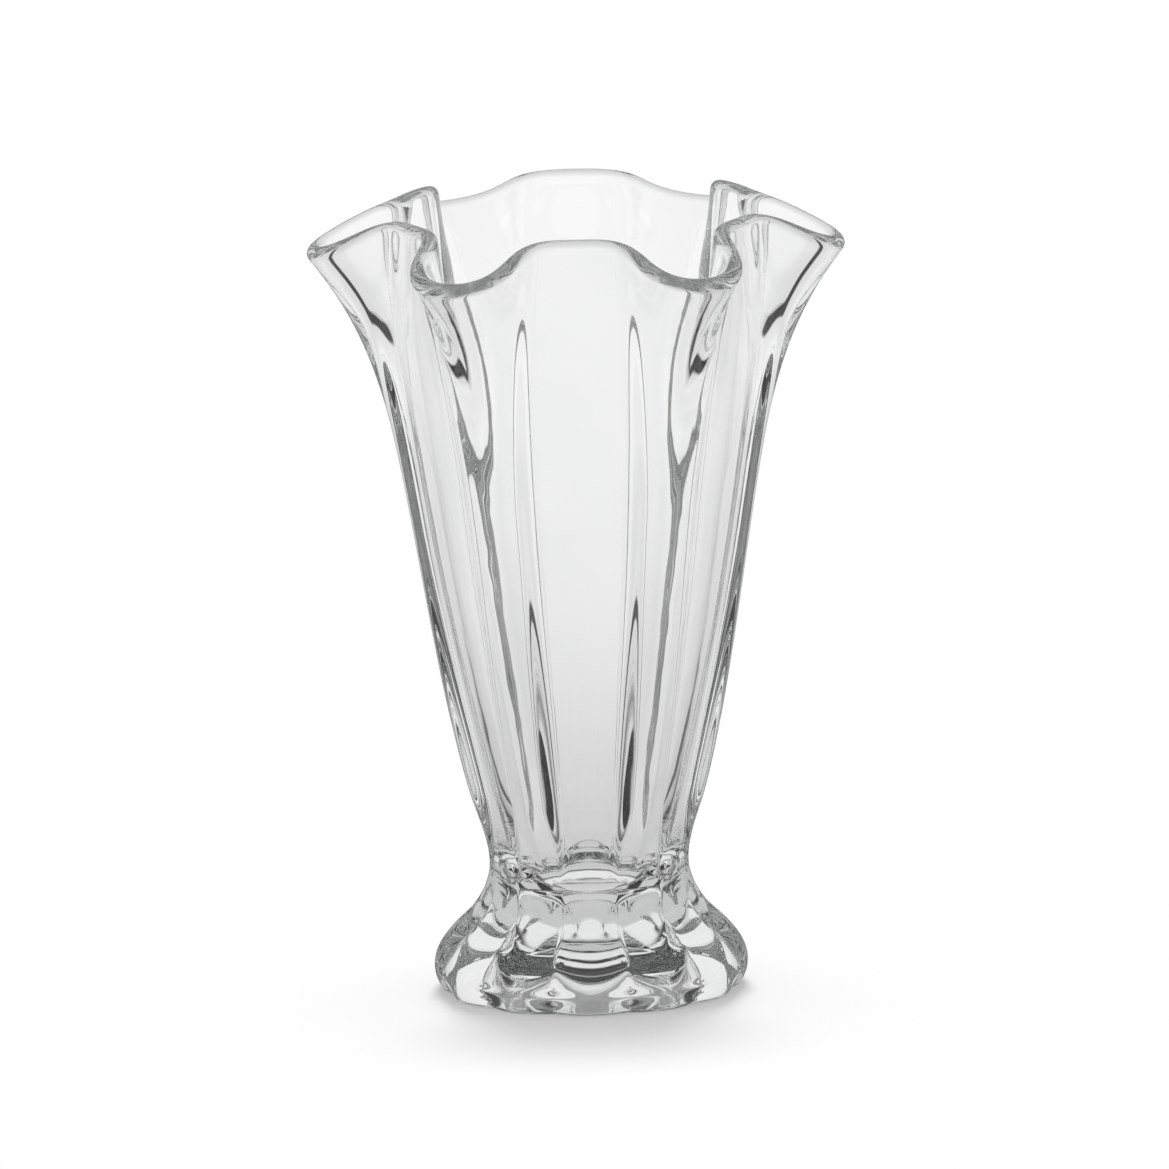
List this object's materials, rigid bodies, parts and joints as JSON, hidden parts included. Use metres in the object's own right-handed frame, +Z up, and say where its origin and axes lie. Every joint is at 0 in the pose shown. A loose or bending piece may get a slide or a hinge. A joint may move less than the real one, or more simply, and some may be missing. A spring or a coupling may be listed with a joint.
{
  "type": "fan vase",
  "caption": "Clear pressed-glass flower vase: pleated panels rise from a scalloped foot through a narrow neck to a flared, crimped rim.",
  "frame": {"origin": "centre of the foot's resting ring, on the table", "axes": "+Z up through the mouth, -Y towards the front, +X to the right seen from the front"},
  "size_m": [0.1562, 0.1404, 0.2315],
  "materials": {
    "glass": "clear, fire-polished"
  },
  "bodies": {
    "root": {"bowl": "glass", "foot": "glass"}
  },
  "joints": []
}
